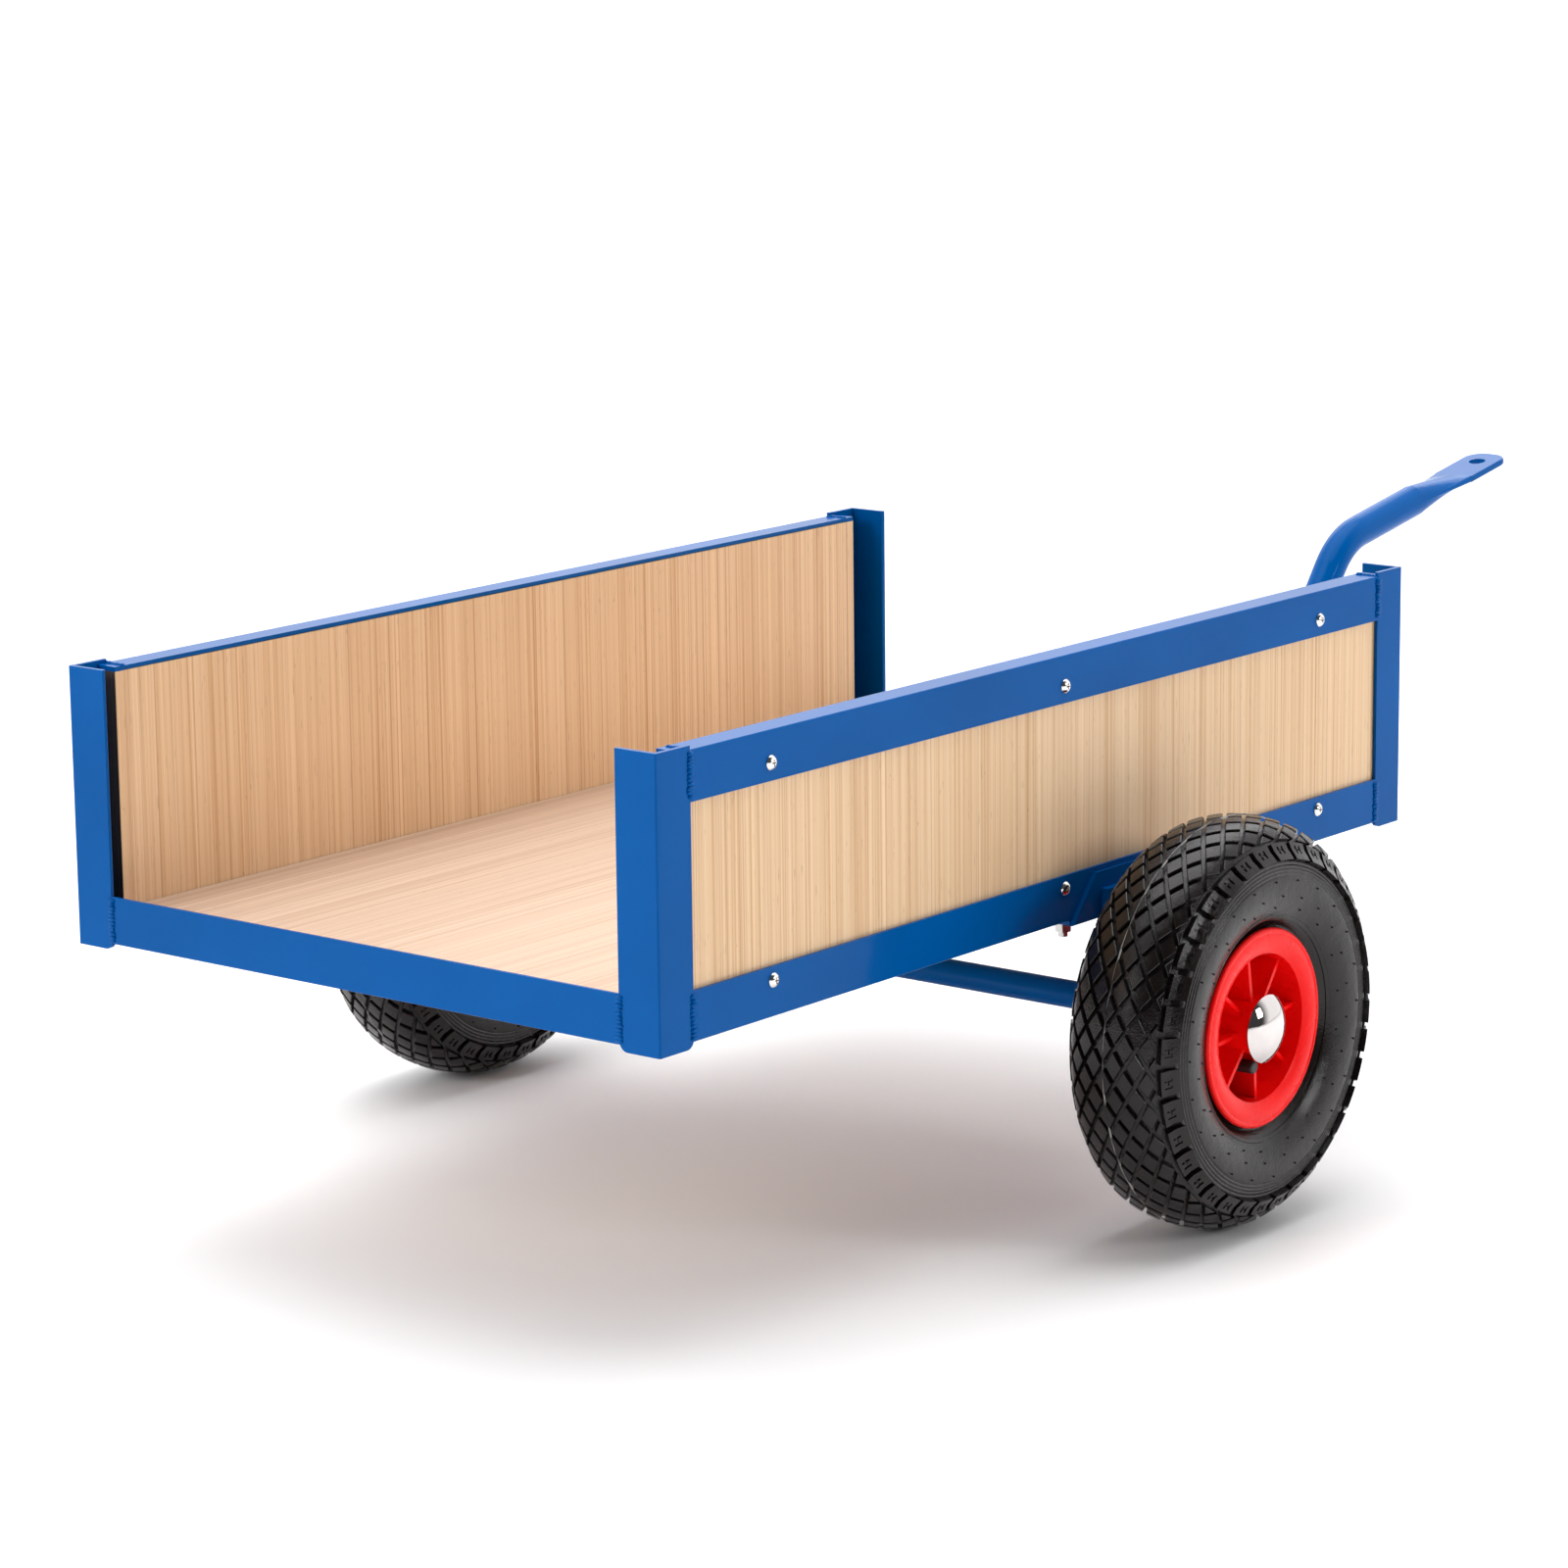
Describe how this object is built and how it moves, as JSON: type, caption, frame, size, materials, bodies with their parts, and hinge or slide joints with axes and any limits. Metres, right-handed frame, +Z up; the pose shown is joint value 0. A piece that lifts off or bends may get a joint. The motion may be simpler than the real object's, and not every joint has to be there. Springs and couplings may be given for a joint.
{
  "type": "hand cart",
  "caption": "Single-axle hand cart: angle-steel box with plywood floor and sides, open ends, pneumatic wheels and a cranked tube drawbar with a hitch eye.",
  "frame": {"origin": "on the ground, under the middle of the cart's overall box, with both wheels standing on the ground and the deck level", "axes": "+X across the cart, to the right for someone facing the drawbar from the open end; +Y along the cart, from the open end to the drawbar; +Z up"},
  "size_m": [0.7078, 1.2953, 0.3645],
  "materials": {
    "blue_paint": "gloss blue paint over welded steel",
    "side_plywood": "pale plywood, face grain upright",
    "floor_plywood": "pale plywood, face grain along the cart",
    "bright_screw": "bright nickel-plated screw",
    "zinc_plate": "zinc plated",
    "tyre_rubber": "moulded tyre rubber, slight sheen",
    "tube_rubber": "black rubber",
    "red_plastic": "glossy red moulded plastic",
    "bush_nylon": "natural nylon",
    "black_plastic": "black moulded plastic",
    "chrome_cap": "polished chrome"
  },
  "bodies": {
    "cart": {"front_post_left": "blue_paint", "front_post_right": "blue_paint", "rear_post_left": "blue_paint", "rear_post_right": "blue_paint", "bottom_rail_left": "blue_paint", "bottom_rail_right": "blue_paint", "top_rail_left": "blue_paint", "top_rail_right": "blue_paint", "axle_bracket_left": "blue_paint", "axle_bracket_right": "blue_paint", "axle_plate_left": "blue_paint", "axle_plate_right": "blue_paint", "front_cross_member": "blue_paint", "rear_cross_member": "blue_paint", "axle_bar": "blue_paint", "drawbar": "blue_paint", "side_panel_left": "side_plywood", "side_panel_right": "side_plywood", "floor_panel": "floor_plywood", "panel_screws_left": "bright_screw", "panel_screws_right": "bright_screw", "bracket_bolts": "zinc_plate", "bracket_washers": "zinc_plate", "bracket_nuts": "zinc_plate", "drawbar_bolt": "zinc_plate", "drawbar_nut": "zinc_plate", "hub_cap_left": "chrome_cap", "thrust_washer_left": "zinc_plate", "hub_cap_right": "chrome_cap", "thrust_washer_right": "zinc_plate"},
    "wheel_left": {"tyre_left": "tyre_rubber", "inner_tube_left": "tube_rubber", "rim_left": "red_plastic", "hub_bushes_left": "bush_nylon", "valve_stem_left": "tube_rubber", "valve_cap_left": "black_plastic"},
    "wheel_right": {"tyre_right": "tyre_rubber", "inner_tube_right": "tube_rubber", "rim_right": "red_plastic", "hub_bushes_right": "bush_nylon", "valve_stem_right": "tube_rubber", "valve_cap_right": "black_plastic"}
  },
  "joints": [
    {"name": "wheel_left_spin", "type": "hinge", "parent": "cart", "child": "wheel_left", "pos_m": [-0.314, -0.19863, 0.13], "axis": [1, 0, 0], "continuous": true},
    {"name": "wheel_right_spin", "type": "hinge", "parent": "cart", "child": "wheel_right", "pos_m": [0.314, -0.19863, 0.13], "axis": [1, 0, 0], "continuous": true}
  ]
}
